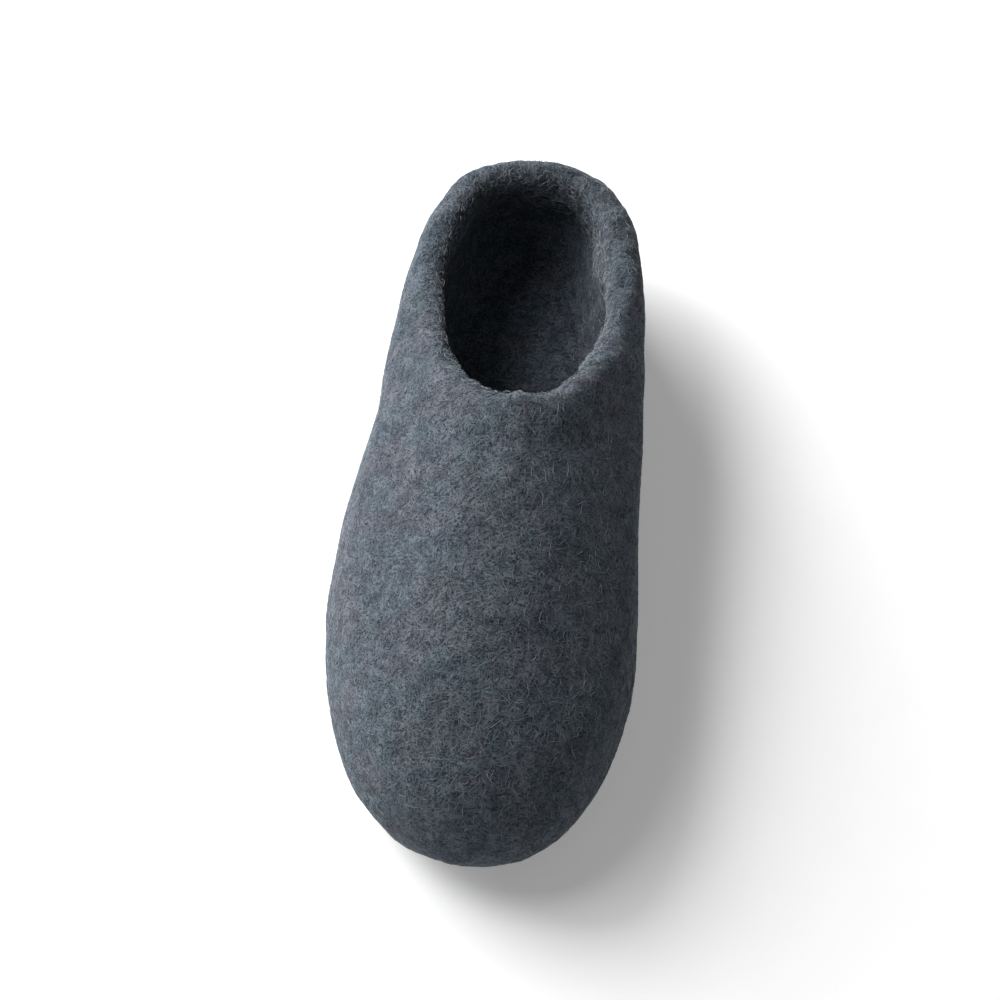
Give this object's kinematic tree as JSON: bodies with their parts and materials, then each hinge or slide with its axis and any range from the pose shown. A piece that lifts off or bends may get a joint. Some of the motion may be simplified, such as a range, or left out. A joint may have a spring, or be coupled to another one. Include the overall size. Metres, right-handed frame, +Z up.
{
  "type": "felt slipper",
  "caption": "Thick wool felt slipper, felted in one piece over the last, with a round toe, a low closed heel, a wide oval collar with a soft rounded rim, a felt insole and a thin suede sole.",
  "frame": {"origin": "bottom centre of the whole shoe's bounding box, on the floor it stands on", "axes": "+Z up, +Y from the toe to the heel, +X towards the big-toe side, -X towards the little-toe side"},
  "size_m": [0.1058, 0.2752, 0.083],
  "materials": {
    "felt": "wet-felted wool, slate blue-grey, heathered, matt, with short loose fibres",
    "insole_felt": "pressed wool felt, slate blue-grey, matt",
    "suede": "brown suede with a short nap, matt"
  },
  "bodies": {
    "root": {"upper": "felt", "insole": "insole_felt", "sole": "suede"}
  },
  "joints": []
}
